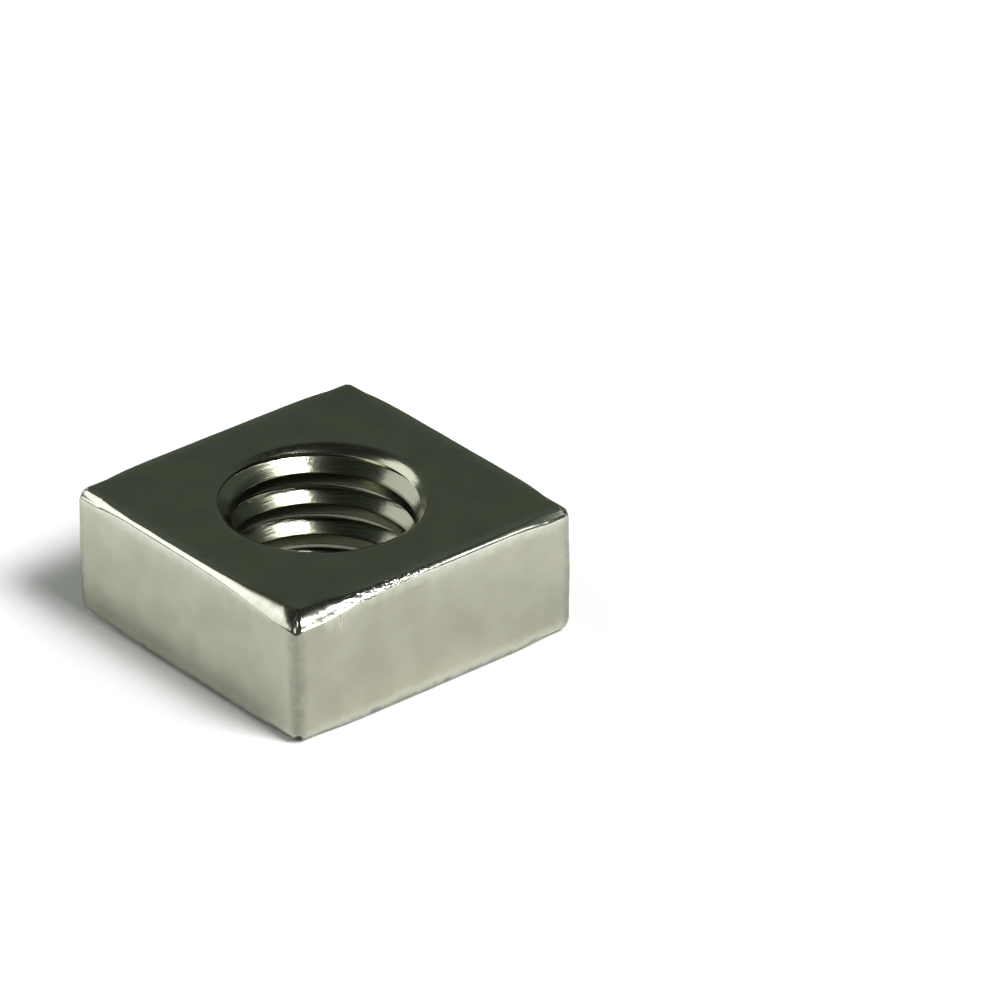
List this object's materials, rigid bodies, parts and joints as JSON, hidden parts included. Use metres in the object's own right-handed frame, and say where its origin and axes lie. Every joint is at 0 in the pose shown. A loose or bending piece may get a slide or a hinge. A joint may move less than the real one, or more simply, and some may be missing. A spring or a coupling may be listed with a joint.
{
  "type": "square nut",
  "caption": "Flat square nut with a countersunk right-hand threaded bore through its middle and tumbled edges, turned onto a screw or bolt to clamp a joint.",
  "frame": {"origin": "centre of the bearing face that the nut lies on, on the thread axis", "axes": "+Z along the thread axis away from the bearing face, +X and +Y square to the side flats"},
  "size_m": [0.0158, 0.0158, 0.0063],
  "materials": {
    "bright_steel": "bright tumbled stainless steel with faint mottling and polished edges"
  },
  "bodies": {
    "root": {"square_nut": "bright_steel"}
  },
  "joints": []
}
